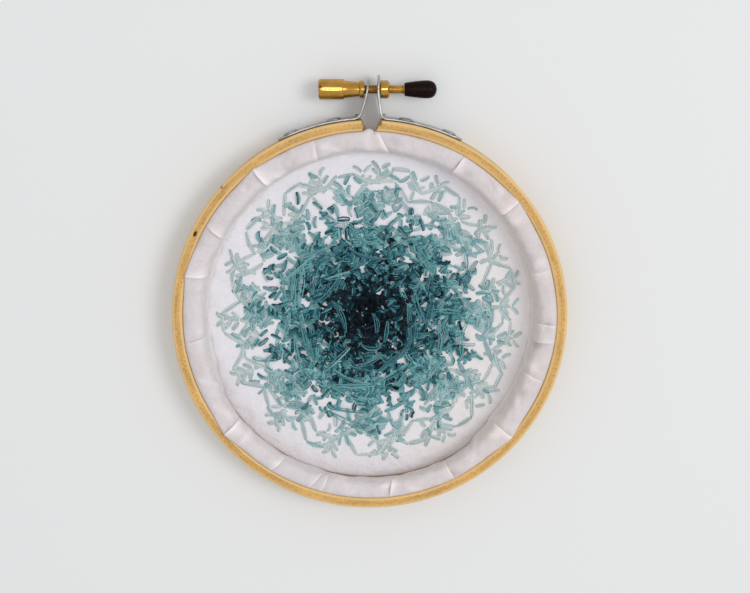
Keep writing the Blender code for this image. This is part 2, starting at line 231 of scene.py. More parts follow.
def rounded_section(r_low, r_high, z_low, z_high, radius, steps):
    """Loop round a rectangle in radius and height: four quarter circles joined by straight
    sides with a point halfway. It starts in the middle of the lower side and goes outwards."""
    turns = np.linspace(0, math.pi / 2, steps + 1)
    middle = np.array([[(r_low + r_high) / 2, z_low]])
    parts = [middle]
    corners = ((r_high - radius, z_low + radius, -0.5), (r_high - radius, z_high - radius, 0.0),
               (r_low + radius, z_high - radius, 0.5), (r_low + radius, z_low + radius, 1.0))
    for r, z, start in corners:
        angle = turns + start * math.pi
        arc = np.stack([r + radius * np.cos(angle), z + radius * np.sin(angle)], axis=-1)
        last = parts[-1][-1:]
        parts += [last + 0.5 * (arc[:1] - last), arc]
    last = parts[-1][-1:]
    return np.concatenate(parts + [last + 0.5 * (middle - last)])


def distances(rows):
    """Distance along rows of points, from the first row to each."""
    step = np.linalg.norm(np.diff(rows, axis=0), axis=-1)
    return np.concatenate([0 * step[:1], np.cumsum(step, axis=0)])


def swept_ring(name, loop, angles, closed):
    """Carry a section loop round the hoop's centre line: angles are (columns, loop points).
    The UV map has the distance round the hoop and the distance round the section from the
    middle of the back face, both in mm."""
    r, z = loop[:, 0][None], loop[:, 1][None]
    points = np.stack([r * np.cos(angles), r * np.sin(angles) + CENTRE_Y,
                       z + 0 * angles], axis=-1)
    run = distances(np.append(loop, loop[:1], axis=0))
    middle = run[np.argmax(loop[:, 1] - 0.001 * abs(loop[:, 0] - loop[:, 0].mean()))]
    lengths = angles * loop[:, 0].mean()
    lengths = np.concatenate([lengths, lengths[:, :1]], axis=1)
    if closed:
        lengths = np.concatenate([lengths, lengths[:1] + math.tau * loop[:, 0].mean()])
    uv = np.stack([lengths, middle - run[None] + 0 * lengths], axis=-1)
    return skin(name, points, along_closed=closed, uv=uv, sharp=50)


def maths(tree, operation, *values):
    """Add, multiply or otherwise work on numbers."""
    return node(tree, "Math", dict(enumerate(values)), operation=operation)


def vectors(tree, operation, *values, out=0):
    """The same for vectors. out is "Value" where the result is a number."""
    return node(tree, "VectorMath", dict(enumerate(values)), out, operation=operation)


def span(tree, value, low, high, at_low=0.0, at_high=1.0, ease="LINEAR"):
    """Carry a number from low..high to at_low..at_high, and no further at either end."""
    return node(tree, "MapRange", {0: value, 1: low, 2: high, 3: at_low, 4: at_high},
                interpolation_type=ease)


def noise(tree, place, scale, detail, roughness=0.5):
    """Cloudy noise from 0 to 1."""
    return node(tree, "TexNoise", {"Vector": place, "Scale": scale, "Detail": detail,
                                   "Roughness": roughness})


def mixed(tree, share, first, second, blend="MIX"):
    """Mix two colours by a share."""
    first, second = ((*c, 1) if isinstance(c, tuple) else c for c in (first, second))
    return node(tree, "Mix", {0: share, 6: first, 7: second}, 2, data_type="RGBA", blend_type=blend)


def embossed(tree, height, strength, depth, **over):
    """Relief of a depth in mm, which may lie over a finer one."""
    return node(tree, "Bump", {"Height": height, "Strength": strength, "Distance": depth * MM, **over})


def wood(name, face, edge, band_depth, marks=()):
    """Fine-grained wood on a ring's UV map, in mm: long faint bands along the strip, short light
    and dark flecks across it, a painted highlight that makes the rounded edges paler, and a few
    round marks."""
    made, tree = new_material(name)
    uv = node(tree, "UVMap", uv_map="surface")

    def pattern(u_scale, v_scale, detail, shift=0.0):
        """Noise squeezed along or across the strip."""
        place = node(tree, "Mapping", {"Vector": uv, "Scale": (u_scale, v_scale, 1),
                                       "Location": (shift, shift, shift)})
        return noise(tree, place, 1.0, detail, 0.6)

    bands = pattern(0.035, 2.6, 4)
    clouds = pattern(0.09, 0.35, 2, 7.0)
    flecks = pattern(2.3, 0.95, 1, 3.0)
    from_back = maths(tree, "ABSOLUTE", node(tree, "SeparateXYZ", {0: uv}, "Y"))
    back_part = span(tree, from_back, 0.55, 1.0, 1.0, 0.0, "SMOOTHSTEP")
    from_wall = maths(tree, "ABSOLUTE", maths(tree, "SUBTRACT", from_back, WALL_MIDDLE))
    wall_part = span(tree, from_wall, 3.1, 3.9, 1.0, 0.0, "SMOOTHSTEP")
    flat_part = maths(tree, "MAXIMUM", back_part, wall_part)
    rounded = maths(tree, "SUBTRACT", 1.0, flat_part)
    low = tuple(c * (1 - band_depth) for c in face)
    high = tuple(min(c * (1 + 0.7 * band_depth), 1) for c in face)
    tone = maths(tree, "MULTIPLY", maths(tree, "ADD", bands, clouds), 0.5)
    colour = ramp(tree, tone, ((0.36, low), (0.5, face), (0.64, high)))
    # painted highlight: the rounded edges are mixed towards the paler edge colour
    colour = mixed(tree, maths(tree, "MULTIPLY", rounded, 0.75), colour, edge)
    dark = maths(tree, "MULTIPLY", span(tree, flecks, 0.57, 0.66, 0.0, 0.38), flat_part)
    colour = mixed(tree, dark, colour, tuple(c * 0.45 for c in low))
    light = maths(tree, "MULTIPLY", span(tree, flecks, 0.42, 0.34, 0.0, 0.40), flat_part)
    colour = mixed(tree, light, colour, edge)
    for degrees, out, half_across, half_along, mark, strength in marks:
        centre = (math.radians(degrees) * (OUTER_R - OUTER_WALL / 2), out, 0)
        scaled = vectors(tree, "MULTIPLY", vectors(tree, "SUBTRACT", uv, centre),
                         (1 / half_along, 1 / half_across, 0))
        far = vectors(tree, "LENGTH", scaled, out="Value")
        colour = mixed(tree, span(tree, far, 0.75, 1.25, strength, 0.0), colour, mark)
    relief = maths(tree, "ADD", bands, maths(tree, "MULTIPLY", flecks, 0.4))
    surface(tree, {"Base Color": colour, "Roughness": span(tree, bands, 0.3, 0.7, 0.42, 0.62),
                   "Specular IOR Level": 0.35, "Normal": embossed(tree, relief, 0.25, 0.05)})
    return made


outer_loop = rounded_section(OUTER_R - OUTER_WALL, OUTER_R, 0, OUTER_DEPTH, EDGE_ROUND, 5)
loop_r = outer_loop[:, 0]
out_share = (loop_r - (OUTER_R - OUTER_WALL)) / OUTER_WALL
half_split = (SPLIT_INNER + out_share * (SPLIT_OUTER - SPLIT_INNER)) / 2
start_angle = math.pi / 2 + np.arcsin((half_split - SPLIT_X) / loop_r)
stop_angle = math.pi * 5 / 2 - np.arcsin((half_split + SPLIT_X) / loop_r)
run_share = np.linspace(0, 1, RING_COLUMNS)[:, None]
ring_angles = start_angle + run_share * (stop_angle - start_angle)
outer_ring = swept_ring("outer_ring_wood", outer_loop, ring_angles, False)
outer_ring.data.materials.append(wood("beech", marks=MARKS, **BEECH))
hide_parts("outer_ring")
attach(outer_ring, "hoop")


# Inner ring: a closed ring of the same wood, in a darker and browner colour. The cloth is
# stretched over it, and only a thin line of it shows below the folded cloth.
INNER_R = 50.9
INNER_HOLE_R = 47.9
INNER_BOTTOM = 1.9
INNER_TOP = 8.2
INNER_COLUMNS = 240
INNER_WOOD = {"face": (0.40, 0.19, 0.085), "edge": (0.44, 0.22, 0.10), "band_depth": 0.2}

inner_loop = rounded_section(INNER_HOLE_R, INNER_R, INNER_BOTTOM, INNER_TOP, EDGE_ROUND, 3)
inner_angles = np.linspace(0, math.tau, INNER_COLUMNS + 1)[:-1, None] + 0 * inner_loop[:, 0]
inner_ring = swept_ring("inner_ring_wood", inner_loop, inner_angles, True)
inner_ring.data.materials.append(wood("inner_wood", **INNER_WOOD))
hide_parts("inner_ring")
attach(inner_ring, "hoop")


# Cloth: one round sheet of fine white cotton, drawn tight over the inner ring, up between the
# rings and over the back edge, with its spare edge tucked in by uneven pleats.
CLOTH_T = 0.35
DRUM_Z = 1.1                                    # middle of the stretched face
DRUM_ROWS = (0.4, 12, 24, 33, 39, 41.8, 43.4, 45.0, 46.3, 47.5, 48.7, 49.9, 50.9)   # radii
CORNER_R = 0.9
CORNER_ROWS = (0, 25, 50, 75, 90)               # degrees round the corner
WALL_R = 52.27
# The fold's section, from the wall over the back edge to the raw edge inside. Columns: r and z,
# what a pleat's lift and its spill add to each, how much of the creases and of the slant show,
# r where the hem is tucked up, a pleat's width, how much painted light its crest and painted
# shade its groove get, and how much swells out.
FOLD_SECTION = np.array((
    (52.27, 6.20, 0.00, 0.00, 0.00, 0.00, 0.0, 0.5, 52.27, 0.50, 0.00, 0.25),
    (52.35, 8.10, 0.00, 0.00, 0.05, 0.06, 0.0, 0.5, 52.35, 0.50, 0.00, 0.50),
    (52.26, 8.80, 0.00, 0.05, 0.75, 0.48, 0.3, 0.5, 52.26, 0.55, 0.50, 0.85),
    (51.65, 9.30, 0.00, 0.32, 1.42, 0.52, 0.8, 0.4, 51.65, 0.70, 0.90, 1.00),
    (50.60, 9.52, 0.00, 0.72, 0.80, 0.42, 1.0, 0.2, 50.60, 0.95, 1.00, 0.60),
    (49.35, 9.38, -0.06, 0.84, 0.25, 0.25, 1.0, 0.0, 49.35, 1.15, 1.00, 0.25),
    (48.25, 8.80, -0.24, 0.64, 0.00, 0.10, 1.0, -0.2, 48.40, 1.30, 0.90, 0.00),
    (47.45, 7.40, -0.25, 0.30, 0.00, 0.00, 0.7, -0.4, 47.80, 1.40, 0.30, 0.00),
    (47.15, 5.60, -0.12, 0.05, 0.00, 0.00, 0.5, -0.5, 47.65, 1.40, 0.08, 0.00),
    (46.90, 3.80, 0.00, 0.00, 0.00, 0.00, 0.4, -0.5, 47.62, 1.40, 0.00, 0.00),
    (46.60, 2.35, 0.00, 0.00, 0.00, 0.00, 0.3, -0.5, 47.65, 1.40, 0.00, 0.00),
    (46.10, 1.60, 0.00, 0.00, 0.00, 0.00, 0.1, -0.5, 47.65, 1.40, 0.00, 0.00),
))
BROW_ROW = 6                                    # the inner wall hangs down from this row
# The pleats. Columns: degrees, half-widths of the soft and the steep side in degrees, which way
# the steep side looks, lift, spill, and slant, how far its outer end lies round from its inner.
PLEATS = np.array((
    (15.6, 3.5, 0.35, 1, 0.30, 0.00, 0.0), (39.4, 5.5, 0.40, -1, 0.90, 1.00, 0.0),
    (60.5, 5.0, 0.35, 1, 0.75, 0.40, -0.6), (85.9, 2.6, 0.40, -1, 0.95, 0.10, 3.4),
    (107.9, 2.6, 0.30, -1, 0.60, 0.00, -1.0), (126.8, 5.0, 0.40, 1, 0.90, 0.95, 0.6),
    (150.1, 3.6, 0.35, 1, 0.75, 0.15, -1.2), (165.6, 4.2, 0.35, 1, 0.70, 0.80, 1.6),
    (187.3, 3.0, 0.30, -1, 0.45, 0.10, 0.8), (218.9, 4.8, 0.40, -1, 0.85, 1.00, 0.6),
    (237.8, 3.4, 0.35, 1, 0.75, 0.15, -1.6), (251.7, 2.2, 0.30, 1, 0.55, 0.00, -2.4),
    (254.8, 2.2, 0.30, 1, 0.60, 0.00, 0.0), (277.4, 2.8, 0.30, -1, 0.75, 0.05, -1.7),
    (297.0, 3.4, 0.35, 1, 0.75, 0.20, 0.5), (319.2, 4.6, 0.40, 1, 0.90, 1.00, 0.7),
    (340.0, 3.4, 0.35, 1, 0.60, 0.10, -0.5), (352.4, 2.4, 0.30, -1, 0.60, 0.10, 0.6),
    (358.0, 2.4, 0.30, 1, 0.55, 0.10, -0.4),
))
SPILL_WIDE = 9.0                                # degrees to either side that a pleat spills over
LEAN_OVER = 0.40                                # how far a pleat's crest hangs over its foot
SWELL = (89.7, 1.80, 1.15, 0.30)                # the sheet swells into the outer ring's split:
                                                # degrees, half-width, how far out and up
HEM_LOW = 1.45                                  # z of the raw edge where it reaches furthest in
HEM = np.array(((0, 0.15), (40, 0.05), (75, 0.25), (110, 0.1), (150, 0.25), (185, 0.1), (197, 0.5),
                (208, 2.3), (217, 3.3), (226, 3.7), (238, 3.1), (248, 2.8), (257, 3.4), (275, 3.9),
                (283, 3.2), (292, 3.6), (301, 3.0), (312, 1.6), (322, 0.3),
                (360, 0.15)))                   # degrees, and how far above that the edge is
HEM_FULL_TUCK = 2.2                             # a hem this high lies close to the inner ring
CREASES = 74                                    # short soft creases in the folded band
COLUMN_STEP = 0.95                              # degrees from column to column, and more columns
NEAR_PLEAT = (-2.4, -1.6, -1.0, -0.6, -0.3, -0.1, 0.03, 0.13, 0.23, 0.33, 0.45, 0.75, 1.2)
# face is painted paler and bluer than the band's edge colour, as painted light against the shade of the
# recess
COTTON = {"face": (0.82, 0.805, 0.855), "edge": (0.722, 0.671, 0.696), "pitch": 0.36,
          # tucked is the inner wall's colour, painted paler than the band as painted light in its shaded
          # corner
          "tucked": (0.815, 0.762, 0.765), "soiled": (0.665, 0.595, 0.600)}
# a warm painted shade, multiplied into the cloth's colour on the right side, where the rim shades the face
WARM_SHADE_TINT = (1.0, 0.97, 0.92)
WARM_SHADE_SIDE = (0.97, -0.24, 0.0)
chance = np.random.default_rng(41)

(flat_r, flat_z, lift_r, lift_z, spill_r, spill_z, crease_part, slant_part, tucked_r, wide, crest_light_part,
 swell_part) = FOLD_SECTION.T[..., None]
pleat_deg, pleat_soft, pleat_steep, pleat_way, pleat_lift, pleat_spill, pleat_slant = PLEATS.T[..., None]


def pleat_shape(away):
    """Height of every pleat from 0 to 1 at each angle: a cusp that fades slowly on its soft
    side and drops at once on its steep side, into a shallow groove."""
    soft = 0.56 * np.exp(-abs(away) / 0.55)
    soft += 0.44 * np.exp(-(away / (0.62 * pleat_soft)) ** 2)
    drop = np.clip(away / pleat_steep, 0, 1)
    steep = 1 - 1.20 * drop * drop * (3 - 2 * drop)
    groove = -0.20 * np.exp(-((away - pleat_steep) / 1.2).clip(0) ** 2)
    return np.where(away > pleat_steep, groove, np.where(away > 0, steep, soft))


def corner_cut(line):
    """Round a row of knots: each step is replaced by points at a quarter and three quarters."""
    low = 0.75 * line[:-1] + 0.25 * line[1:]
    high = 0.25 * line[:-1] + 0.75 * line[1:]
    inner = np.stack([low, high], axis=1).reshape(-1, *line.shape[1:])
    return np.concatenate([line[:1], inner, line[-1:]])


def drum_height(r, angle):
    """Middle of the stretched face: almost flat, with faint waves that grow towards the rim and
    short puckers on the side where the sheet was pulled in last."""
    outer = np.clip((r - 20) / 26, 0, 1) ** 2
    waves = 0.07 * outer * np.sin(7 * angle) * np.cos(3 * angle + r / 30)
    pulled = np.exp(-((np.degrees(angle) % 360 - 195) / 42) ** 2)
    near_rim = np.exp(-((r - 47.2) / 2.4) ** 2)
    puckers = near_rim * (0.05 + 0.13 * pulled) * np.sin(34 * angle + 0.9 * np.sin(9 * angle))
    roll = 0.16 * pulled * np.exp(-((r - 43.6 - 0.8 * np.sin(5 * angle)) / 0.9) ** 2)
    return DRUM_Z + waves + puckers + roll


even = np.arange(0, 360, COLUMN_STEP)
near = np.array(NEAR_PLEAT)[None] * pleat_way + pleat_deg
cloth_deg = np.unique(np.round(np.concatenate([even, near.ravel() % 360]), 3))
cloth_deg = cloth_deg[np.diff(cloth_deg, append=cloth_deg[0] + 360) > 0.09]
cloth_angle = np.radians(cloth_deg)
away = ((cloth_deg[None] - pleat_deg + 180) % 360 - 180) * pleat_way
ridge = pleat_shape(away[None] / wide[..., None])
crest = np.clip(ridge, 0, 1)
lift = np.clip((ridge * pleat_lift).sum(axis=1), -0.2, 1.05)
spread = np.clip(1 - abs(away) / SPILL_WIDE, 0, 1) ** 1.2
spill = np.clip((spread * pleat_spill).sum(axis=0), 0, 1.05)
lean = (crest ** 3 * pleat_lift * pleat_way).sum(axis=1) * LEAN_OVER
slant = (np.exp(-(away / 3.2) ** 2) * pleat_slant).sum(axis=0)
# painted light on the pleat crests and painted shade in the grooves beside them
crest_light_shade = crest_light_part * ((crest ** 1.4 + 1.8 * np.clip(ridge, -1, 0)) * pleat_lift).sum(axis=1)

hem_rise = np.interp(cloth_deg, HEM[:, 0], HEM[:, 1])
ragged = 0.25 * np.sin(17 * cloth_angle) + 0.20 * np.sin(41 * cloth_angle + 2)
hem_rise = hem_rise * (1 + 0.4 * ragged) + 0.3 * ragged + 0.06 * np.sin(67 * cloth_angle + 1)
tuck = np.clip((hem_rise - 0.5) / (HEM_FULL_TUCK - 0.5), 0, 1)
below = np.clip((6.6 - flat_z) / 4.8, 0, 1) * (np.arange(len(FOLD_SECTION))[:, None] > BROW_ROW)
knot_r = flat_r + lift * lift_r + spill * spill_r
knot_r = knot_r + tuck * (tucked_r - flat_r - 0.6 * lift * lift_r)
knot_z = flat_z + lift * lift_z + spill * spill_z + below * (HEM_LOW + hem_rise - flat_z[-1])
uneven = 0.28 * np.sin(5 * cloth_angle + 0.4) + 0.22 * np.sin(11 * cloth_angle + 2.0)
uneven = uneven + 0.13 * np.sin(23 * cloth_angle) - 0.40
knot_r = knot_r + crease_part * uneven * (1 - tuck)
uneven = 0.07 * np.sin(11 * cloth_angle + 0.6) + 0.04 * np.sin(29 * cloth_angle)
knot_z = knot_z + crease_part * uneven
swell_at, swell_half, swell_out, swell_up = SWELL
swell = np.exp(-abs((cloth_deg - swell_at) / swell_half) ** 3)
knot_r = knot_r + swell_part * swell * swell_out
knot_z = knot_z + swell_part * swell * swell_up
fold = np.stack([knot_r, knot_z, crease_part * lean + slant_part * slant,
                 crease_part + 0 * lean, crest_light_shade], axis=-1)
fold = corner_cut(corner_cut(fold))

# Each crease is a narrow bump along the fold, with its own angle, place, length, slant and height
along_fold = np.linspace(0, 21, len(fold))[:, None, None]
crease_deg, crease_at = chance.uniform(0, 360, CREASES), chance.uniform(5, 18, CREASES)
crease_slant, crease_long = chance.normal(0, 0.45, CREASES), chance.uniform(1.2, 3.6, CREASES)
crease_high = chance.uniform(0.07, 0.25, CREASES) * chance.choice((-1, 1, 1), CREASES)
crease_wide = chance.uniform(0.8, 1.9, CREASES)
from_crease = (cloth_deg[:, None] - crease_deg + 180) % 360 - 180
from_crease = from_crease[None] - crease_slant * (along_fold - crease_at)
bumps = crease_high * np.exp(-(from_crease / crease_wide) ** 2)
bumps = (bumps * np.exp(-((along_fold - crease_at) / crease_long) ** 2)).sum(axis=-1)
bumps = bumps * fold[..., 3]
slope = np.gradient(fold[..., :2], axis=0)
slope = slope / np.linalg.norm(slope, axis=-1, keepdims=True)
fold[..., 0] += slope[..., 1] * bumps
fold[..., 1] -= slope[..., 0] * bumps

drum_r = np.array(DRUM_ROWS)[:, None]
drum = np.stack([drum_r + 0 * cloth_angle, drum_height(drum_r, cloth_angle[None]),
                 0 * drum_r * cloth_angle], axis=-1)
bend = np.radians(CORNER_ROWS)[:, None] + 0 * cloth_angle
corner = np.stack([WALL_R - CORNER_R * (1 - np.sin(bend)), DRUM_Z + CORNER_R * (1 - np.cos(bend)),
                   0 * bend], axis=-1)
rows = np.concatenate([drum, corner, fold[..., :3]])
row_angle = cloth_angle[None] + rows[..., 2] / rows[..., 0]
cloth_points = np.stack([rows[..., 0] * np.cos(row_angle), rows[..., 0] * np.sin(row_angle) + CENTRE_Y,
                         rows[..., 1]], axis=-1)
flat_run = rows[:1, :, 0] + distances(rows[..., :2])
flat_run = np.concatenate([flat_run, flat_run[:, :1]], axis=1)
flat_angle = np.append(cloth_angle, cloth_angle[0] + math.tau)
cloth_uv = np.stack([flat_run * np.cos(flat_angle), flat_run * np.sin(flat_angle)], axis=-1)
cloth = skin("cotton_sheet", cloth_points, caps=(True, False), uv=cloth_uv)
# painted light and shade on the fold: crests and raised creases paler, grooves and sunk creases darker
fold_light_shade = np.zeros(rows.shape[:2])
fold_light_shade[-len(fold):] = fold[..., 4] + 2.2 * bumps
fold_light_values = cloth.data.attributes.new("crest_light_shade", "FLOAT", "POINT").data
fold_light_values.foreach_set("value", fold_light_shade.astype(np.float32).ravel())
thick = cloth.modifiers.new("thickness", "SOLIDIFY")
thick.thickness = CLOTH_T * MM
thick.offset = 0


def cotton(name, face, edge, tucked, soiled, pitch):
    """Plain-woven cotton on the flat sheet's own coordinates, in mm: two crossed sets of threads,
    slubs along them, and a soft crumple. The stretched face is painted paler and bluer than the
    folded band, as painted light against the shade of the recess, and the band is soiled in soft
    patches. The inner wall of the fold is painted paler than the band again, as painted light in
    its shaded corner. Fold crests get painted light and the grooves beside them painted shade, and
    a warm painted shade lies on the right side, where the rim shades the face, least on the crest."""
    made, tree = new_material(name)
    uv = node(tree, "UVMap", uv_map="surface")
    waves = [node(tree, "TexWave", {"Vector": uv, "Scale": 0.314 / pitch, "Distortion": 0.6,
                                    "Detail": 1.0, "Detail Scale": 0.4}, bands_direction=direction)
             for direction in ("X", "Y")]
    weave = maths(tree, "MULTIPLY", *waves)
    slubs = [noise(tree, node(tree, "Mapping", {"Vector": uv, "Scale": scale}), 1.0, 2.0)
             for scale in ((0.35, 4.0, 1), (4.0, 0.35, 1))]
    slub = maths(tree, "MULTIPLY", maths(tree, "ADD", *slubs), 0.5)
    shade = maths(tree, "ADD", slub, maths(tree, "MULTIPLY", weave, 0.12))

    from_middle = vectors(tree, "LENGTH", uv, out="Value")
    folded_band = span(tree, from_middle, 49.0, 57.0)
    inside = span(tree, from_middle, 62.5, 66.0)
    # painted light: the stretched face is paler and bluer than the folded band, against the shade of the
    # recess
    colour = mixed(tree, folded_band, face, edge)
    patches = span(tree, noise(tree, uv, 0.16, 5.0, 0.6), 0.46, 0.68, 0.0, 0.8)
    colour = mixed(tree, maths(tree, "MULTIPLY", patches, folded_band), colour, soiled)
    # painted light: the inner wall of the fold is paler, against the shade in its corner
    colour = mixed(tree, inside, colour, tucked)
    # painted shade: a warm tint on the right side, where the rim shades the face, least on the lit crest
    toward = vectors(tree, "DOT_PRODUCT", uv, WARM_SHADE_SIDE, out="Value")
    off_crest = span(tree, maths(tree, "SUBTRACT", folded_band, inside), 0.0, 1.0, 1.0, 0.4)
    warm_shade_share = maths(tree, "MULTIPLY", span(tree, toward, 8.0, 38.0, ease="SMOOTHSTEP"), off_crest)
    colour = mixed(tree, warm_shade_share, colour, WARM_SHADE_TINT, "MULTIPLY")
    # painted light on the fold crests and raised creases, painted shade in the grooves and sunk creases
    pale = span(tree, node(tree, "Attribute", out="Fac", attribute_name="crest_light_shade"), -0.6, 0.8, 0.742, 1.25)
    level = maths(tree, "MULTIPLY", pale, span(tree, shade, 0.40, 0.62, 0.93, 1.0))
    shaded = node(tree, "VectorMath", {0: colour, "Scale": level}, operation="SCALE")

    weave_relief = embossed(tree, maths(tree, "ADD", weave, slub), 0.35, 0.08)
    crumple = embossed(tree, noise(tree, uv, 0.22, 4.0, 0.55), 0.75, 1.0, Normal=weave_relief)
    surface(tree, {"Base Color": shaded, "Roughness": 0.9, "Specular IOR Level": 0.2,
                   "Sheen Weight": 0.1, "Sheen Roughness": 0.5, "Normal": crumple})
    return made


cloth.data.materials.append(cotton("cotton", **COTTON))
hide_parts("cloth")
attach(cloth, "hoop")


# Stitches: stranded cotton in five colours, dark in the middle and pale at the edge. The design
# is an eightfold rosette of petals, leaves and scallops. On the back it is untidy, with the
# thread carried from place to place, and on the front it is neat.
STRAND_W = 0.19                                 # half-widths of one strand, flat and upright
STRAND_H = 0.14
STRAND_GAP = 0.35
BACK_Z = DRUM_Z + CLOTH_T / 2
FRONT_Z = DRUM_Z - CLOTH_T / 2
# Every thread: its colour, the factors of its darkest and palest strands, and the least shade.
# On the back: how many times over it is worked, how far a stitch is turned (radians) and moved,
# how it grows, the lengths it is kept between, how high stitches pile up, and the share that is
# worked in each neighbouring colour. Then how many threads are carried, and how far.
Skein = namedtuple("Skein", "colour darkest palest shade_from times turn shift grow lengths crowd "
                            "lent floats reach")
SKEINS = {
    "navy": Skein((0.003, 0.012, 0.021), 0.15, 2.0, 0.05,
                  2.6, 1.1, 0.9, (0.9, 1.5), (1.7, 3.0), 1.2, 0.16, 3, 7),
    "deep_teal": Skein((0.019, 0.116, 0.145), 0.16, 2.5, 0.05,
                       1.5, 0.80, 0.90, (0.9, 1.5), (2.0, 3.7), 1.1, 0.15, 24, 12),
    "teal": Skein((0.092, 0.292, 0.315), 0.22, 1.7, 0.14,
                  1.15, 0.60, 0.75, (0.9, 1.45), (2.1, 4.0), 0.85, 0.16, 40, 13),
    "light_teal": Skein((0.245, 0.425, 0.448), 0.34, 1.38, 0.34,
                        1.0, 0.38, 0.50, (1.0, 1.4), (2.7, 4.6), 0.42, 0.12, 14, 9),
    "sage": Skein((0.455, 0.558, 0.558), 0.46, 1.2, 0.40,
                  1.0, 0.07, 0.14, (1.0, 1.1), (2.6, 7.5), 0.10, 0.10, 2, 7),
}
# How strands lie along a stitch: places, how far they spread there, and how high they stand.
ALONG = np.array((0.0, 0.13, 0.5, 0.87, 1.0))
WIDTH = np.array((0.4, 0.85, 1.1, 0.85, 0.4))
STITCH = (ALONG, WIDTH, np.array((-1.0, 0.62, 1.0, 0.62, -1.0)))
FRONT_STITCH = (ALONG, WIDTH, np.array((-0.3, 0.62, 1.0, 0.62, -0.3)))
FLOAT = (np.linspace(0, 1, 9), np.array((0.4, 0.9, 1.4, 1.8, 2.0, 1.8, 1.4, 0.9, 0.4)),
         np.array((-0.6, 0.7, 0.95, 1.0, 1.0, 1.0, 0.95, 0.7, -0.6)))
# painted shade at a stitch's ends, where it dives into the cloth; a float also gets a little painted light
# along its raised middle
STITCH_END_SHADE = (-0.40, -0.06, 0.0, -0.06, -0.40)     # and how much lighter or darker they are
FLOAT_LIGHT_SHADE = (-0.3, 0.0, 0.02, 0.05, 0.05, 0.05, 0.02, 0.0, -0.3)


def pairs(*xy):
    """Join coordinates, given one after another, into points along a last axis."""
    return np.stack(np.broadcast_arrays(*xy), axis=-1)


def spokes(count, start=0.0):
    """Evenly spaced angles round the design, in degrees."""
    return start + 360.0 / count * np.arange(count)


def placed(local, r, deg, tilts=(0.0,)):
    """Set a motif's stitches (n, 2 ends, out and side) at a radius and angles, turned by each
    tilt."""
    angle = np.radians(deg)[:, None, None]
    every = []
    for lean_to in np.radians(tilts):
        out = local[..., 0] * np.cos(lean_to) - local[..., 1] * np.sin(lean_to) + r
        side_way = local[..., 0] * np.sin(lean_to) + local[..., 1] * np.cos(lean_to)
        every.append(pairs(out[None] * np.cos(angle) - side_way[None] * np.sin(angle),
                           out[None] * np.sin(angle) + side_way[None] * np.cos(angle)))
    return np.concatenate(every).reshape(-1, 2, 2)


def leaf(length, half_width, count, slant=0.55):
    """Fishbone leaf: stitches run from the middle vein out to the edge, slanting forwards. The
    half-width follows a sine over the length."""
    t = (np.arange(count) + 0.5) / count
    reach = half_width * np.sin(math.pi * t ** 0.85)
    return np.concatenate([np.stack([pairs(t * length, -0.15 * way),
                                     pairs(t * length + slant * reach, way * reach)], axis=1)
                           for way in (-1, 1)])


def petal(length, half_width, count):
    """Satin-stitched petal: stitches lie straight across it, widest past its middle."""
    t = (np.arange(count) + 0.5) / count
    reach = half_width * np.sin(math.pi * t ** 1.25) ** 0.8
    return np.stack([pairs(t * length, way * reach) for way in (-1, 1)], axis=1)


def star(inner, outer, count):
    """Star of straight stitches round a centre."""
    angle = math.tau * np.arange(count) / count
    tip = pairs(np.cos(angle), np.sin(angle))
    return np.stack([inner * tip, outer * tip], axis=1)


def sprig(length, side_length, steps):
    """Fern stitch: a stem of straight stitches with a slanting pair at the end of each."""
    t = np.arange(steps + 1) / steps * length
    stem = np.stack([pairs(t[:-1], 0.0), pairs(t[1:] - 0.4, 0.0)], axis=1)
    sides = [np.stack([pairs(t[1:], 0.35 * way),
                       pairs(t[1:] + 0.62 * side_length, way * 0.78 * side_length)], axis=1)
             for way in (-1, 1)]
    return np.concatenate([stem] + sides)


def scallop(r_low, rise, arcs, per_arc, start):
    """Straight stitches end to end along a row of arches: the radius is r_low plus rise times a
    half sine, with every third arch lower."""
    t = np.arange(arcs * per_arc + 1) / per_arc
    lower = 1 - 0.35 * (np.floor(t) % 3 == 1)
    r = r_low + rise * lower * abs(np.sin(math.pi * t)) ** 0.7
    angle = np.radians(start + 360.0 / arcs * t)
    line = pairs(r * np.cos(angle), r * np.sin(angle))
    return np.stack([line[:-1], line[1:]], axis=1)


def seeds(r_from, r_to, apart, length, turn):
    """Seeding: single stitches spread evenly over a ring of the cloth on a golden-angle spiral,
    turned by turns to either side of the spoke."""
    count = int(math.pi * (r_to ** 2 - r_from ** 2) / apart ** 2)
    number = np.arange(count)
    r = np.sqrt(r_from ** 2 + (number + 0.5) / count * (r_to ** 2 - r_from ** 2))
    angle = np.radians(137.508 * number)
    heading = angle + turn * np.where(number % 2, 1, -1)
    middle = pairs(r * np.cos(angle), r * np.sin(angle))
    half = length / 2 * pairs(np.cos(heading), np.sin(heading))
    return np.stack([middle - half, middle + half], axis=1)


